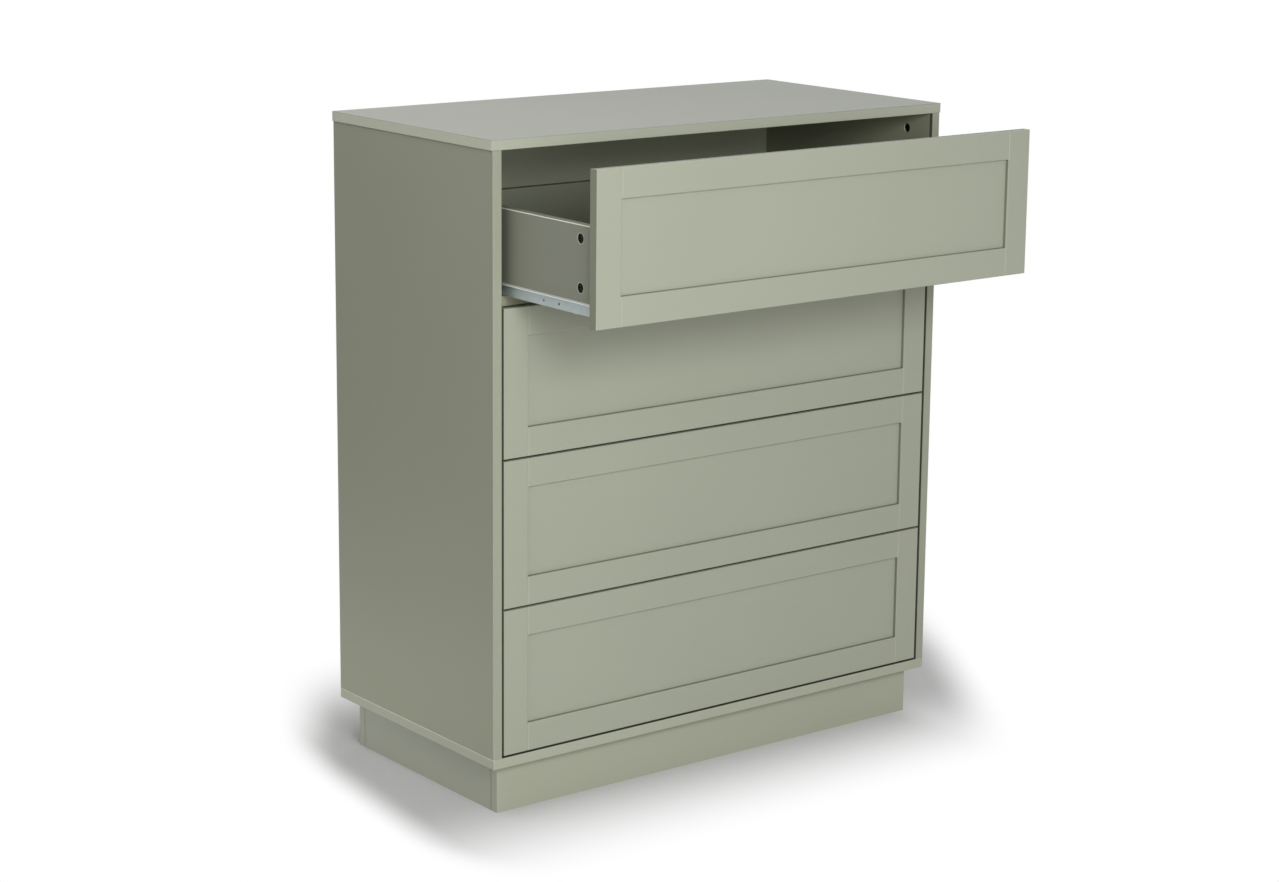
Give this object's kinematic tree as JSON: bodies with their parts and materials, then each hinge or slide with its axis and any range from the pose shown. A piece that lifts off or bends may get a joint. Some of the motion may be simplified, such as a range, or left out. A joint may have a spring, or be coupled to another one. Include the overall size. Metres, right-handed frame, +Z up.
{
  "type": "chest of drawers",
  "caption": "Sage-green chest of drawers on a set-back plinth, with framed push-to-open fronts on roller runners and the top drawer pulled out.",
  "frame": {"origin": "on the floor, under the middle of the carcass", "axes": "+X to the right as seen from the front, +Y to the back, +Z up"},
  "size_m": [0.9, 0.674, 1.052],
  "materials": {
    "green_lacquered_board": "sage-green satin lacquer on board",
    "green_thin_panel": "sage-green printed fibreboard",
    "galvanised_steel": "galvanised sheet",
    "zinc_plated_steel": "bright zinc plating",
    "dark_cast_fitting": "dark cast fitting",
    "white_plastic": "moulded white plastic",
    "grey_plastic": "moulded grey plastic",
    "beech_dowel": "raw beech"
  },
  "bodies": {
    "carcass": {"top_panel": "green_lacquered_board", "bottom_panel": "green_lacquered_board", "left_side_panel": "green_lacquered_board", "right_side_panel": "green_lacquered_board", "plinth_front": "green_lacquered_board", "plinth_back": "green_lacquered_board", "plinth_left": "green_lacquered_board", "plinth_right": "green_lacquered_board", "plinth_centre_rail": "green_lacquered_board", "divider_rails": "green_lacquered_board", "back_panel": "green_thin_panel", "carcass_cam_fittings": "dark_cast_fitting", "carcass_dowels": "beech_dowel", "carcass_screws": "zinc_plated_steel", "cabinet_runners": "galvanised_steel", "push_latch_housings": "grey_plastic"},
    "drawer_1": {"drawer_1_front_panel": "green_lacquered_board", "drawer_1_front_frame": "green_lacquered_board", "drawer_1_left_side": "green_lacquered_board", "drawer_1_right_side": "green_lacquered_board", "drawer_1_back": "green_lacquered_board", "drawer_1_bottom": "green_thin_panel", "drawer_1_runners": "galvanised_steel", "drawer_1_fasteners": "dark_cast_fitting"},
    "drawer_rollers_1": {"drawer_1_rollers": "white_plastic"},
    "cabinet_rollers_1": {"cabinet_rollers_1": "white_plastic"},
    "latch_plunger_1": {"latch_plunger_1": "grey_plastic"},
    "drawer_2": {"drawer_2_front_panel": "green_lacquered_board", "drawer_2_front_frame": "green_lacquered_board", "drawer_2_left_side": "green_lacquered_board", "drawer_2_right_side": "green_lacquered_board", "drawer_2_back": "green_lacquered_board", "drawer_2_bottom": "green_thin_panel", "drawer_2_runners": "galvanised_steel", "drawer_2_fasteners": "dark_cast_fitting"},
    "drawer_rollers_2": {"drawer_2_rollers": "white_plastic"},
    "cabinet_rollers_2": {"cabinet_rollers_2": "white_plastic"},
    "latch_plunger_2": {"latch_plunger_2": "grey_plastic"},
    "drawer_3": {"drawer_3_front_panel": "green_lacquered_board", "drawer_3_front_frame": "green_lacquered_board", "drawer_3_left_side": "green_lacquered_board", "drawer_3_right_side": "green_lacquered_board", "drawer_3_back": "green_lacquered_board", "drawer_3_bottom": "green_thin_panel", "drawer_3_runners": "galvanised_steel", "drawer_3_fasteners": "dark_cast_fitting"},
    "drawer_rollers_3": {"drawer_3_rollers": "white_plastic"},
    "cabinet_rollers_3": {"cabinet_rollers_3": "white_plastic"},
    "latch_plunger_3": {"latch_plunger_3": "grey_plastic"},
    "drawer_4": {"drawer_4_front_panel": "green_lacquered_board", "drawer_4_front_frame": "green_lacquered_board", "drawer_4_left_side": "green_lacquered_board", "drawer_4_right_side": "green_lacquered_board", "drawer_4_back": "green_lacquered_board", "drawer_4_bottom": "green_thin_panel", "drawer_4_runners": "galvanised_steel", "drawer_4_fasteners": "dark_cast_fitting"},
    "drawer_rollers_4": {"drawer_4_rollers": "white_plastic"},
    "cabinet_rollers_4": {"cabinet_rollers_4": "white_plastic"},
    "latch_plunger_4": {"latch_plunger_4": "grey_plastic"}
  },
  "joints": [
    {"name": "drawer_1_slide", "type": "slide", "parent": "carcass", "child": "drawer_1", "axis": [0, -1, 0], "range_m": [-0.229, 0.071]},
    {"name": "drawer_1_roller_turn", "type": "hinge", "parent": "drawer_1", "child": "drawer_rollers_1", "pos_m": [0, -0.0535, 0.8256], "axis": [1, 0, 0], "continuous": true},
    {"name": "cabinet_1_roller_turn", "type": "hinge", "parent": "carcass", "child": "cabinet_rollers_1", "pos_m": [0, -0.1785, 0.827], "axis": [1, 0, 0], "continuous": true},
    {"name": "latch_1_press", "type": "slide", "parent": "carcass", "child": "latch_plunger_1", "axis": [0, 1, 0], "range_m": [0, 0.004], "stiffness_N_per_m": 300},
    {"name": "drawer_2_slide", "type": "slide", "parent": "carcass", "child": "drawer_2", "axis": [0, -1, 0], "range_m": [0, 0.3]},
    {"name": "drawer_2_roller_turn", "type": "hinge", "parent": "drawer_2", "child": "drawer_rollers_2", "pos_m": [0, 0.1755, 0.5914], "axis": [1, 0, 0], "continuous": true},
    {"name": "cabinet_2_roller_turn", "type": "hinge", "parent": "carcass", "child": "cabinet_rollers_2", "pos_m": [0, -0.1785, 0.5928], "axis": [1, 0, 0], "continuous": true},
    {"name": "latch_2_press", "type": "slide", "parent": "carcass", "child": "latch_plunger_2", "axis": [0, 1, 0], "range_m": [0, 0.004], "stiffness_N_per_m": 300},
    {"name": "drawer_3_slide", "type": "slide", "parent": "carcass", "child": "drawer_3", "axis": [0, -1, 0], "range_m": [0, 0.3]},
    {"name": "drawer_3_roller_turn", "type": "hinge", "parent": "drawer_3", "child": "drawer_rollers_3", "pos_m": [0, 0.1755, 0.3572], "axis": [1, 0, 0], "continuous": true},
    {"name": "cabinet_3_roller_turn", "type": "hinge", "parent": "carcass", "child": "cabinet_rollers_3", "pos_m": [0, -0.1785, 0.3586], "axis": [1, 0, 0], "continuous": true},
    {"name": "latch_3_press", "type": "slide", "parent": "carcass", "child": "latch_plunger_3", "axis": [0, 1, 0], "range_m": [0, 0.004], "stiffness_N_per_m": 300},
    {"name": "drawer_4_slide", "type": "slide", "parent": "carcass", "child": "drawer_4", "axis": [0, -1, 0], "range_m": [0, 0.3]},
    {"name": "drawer_4_roller_turn", "type": "hinge", "parent": "drawer_4", "child": "drawer_rollers_4", "pos_m": [0, 0.1755, 0.123], "axis": [1, 0, 0], "continuous": true},
    {"name": "cabinet_4_roller_turn", "type": "hinge", "parent": "carcass", "child": "cabinet_rollers_4", "pos_m": [0, -0.1785, 0.1244], "axis": [1, 0, 0], "continuous": true},
    {"name": "latch_4_press", "type": "slide", "parent": "carcass", "child": "latch_plunger_4", "axis": [0, 1, 0], "range_m": [0, 0.004], "stiffness_N_per_m": 300}
  ],
  "couplings": [
    {"joint": "drawer_1_roller_turn", "follows": "drawer_1_slide", "rad_per_m": 133.33},
    {"joint": "cabinet_1_roller_turn", "follows": "drawer_1_slide", "rad_per_m": 133.33},
    {"joint": "drawer_2_roller_turn", "follows": "drawer_2_slide", "rad_per_m": 133.33},
    {"joint": "cabinet_2_roller_turn", "follows": "drawer_2_slide", "rad_per_m": 133.33},
    {"joint": "drawer_3_roller_turn", "follows": "drawer_3_slide", "rad_per_m": 133.33},
    {"joint": "cabinet_3_roller_turn", "follows": "drawer_3_slide", "rad_per_m": 133.33},
    {"joint": "drawer_4_roller_turn", "follows": "drawer_4_slide", "rad_per_m": 133.33},
    {"joint": "cabinet_4_roller_turn", "follows": "drawer_4_slide", "rad_per_m": 133.33}
  ]
}
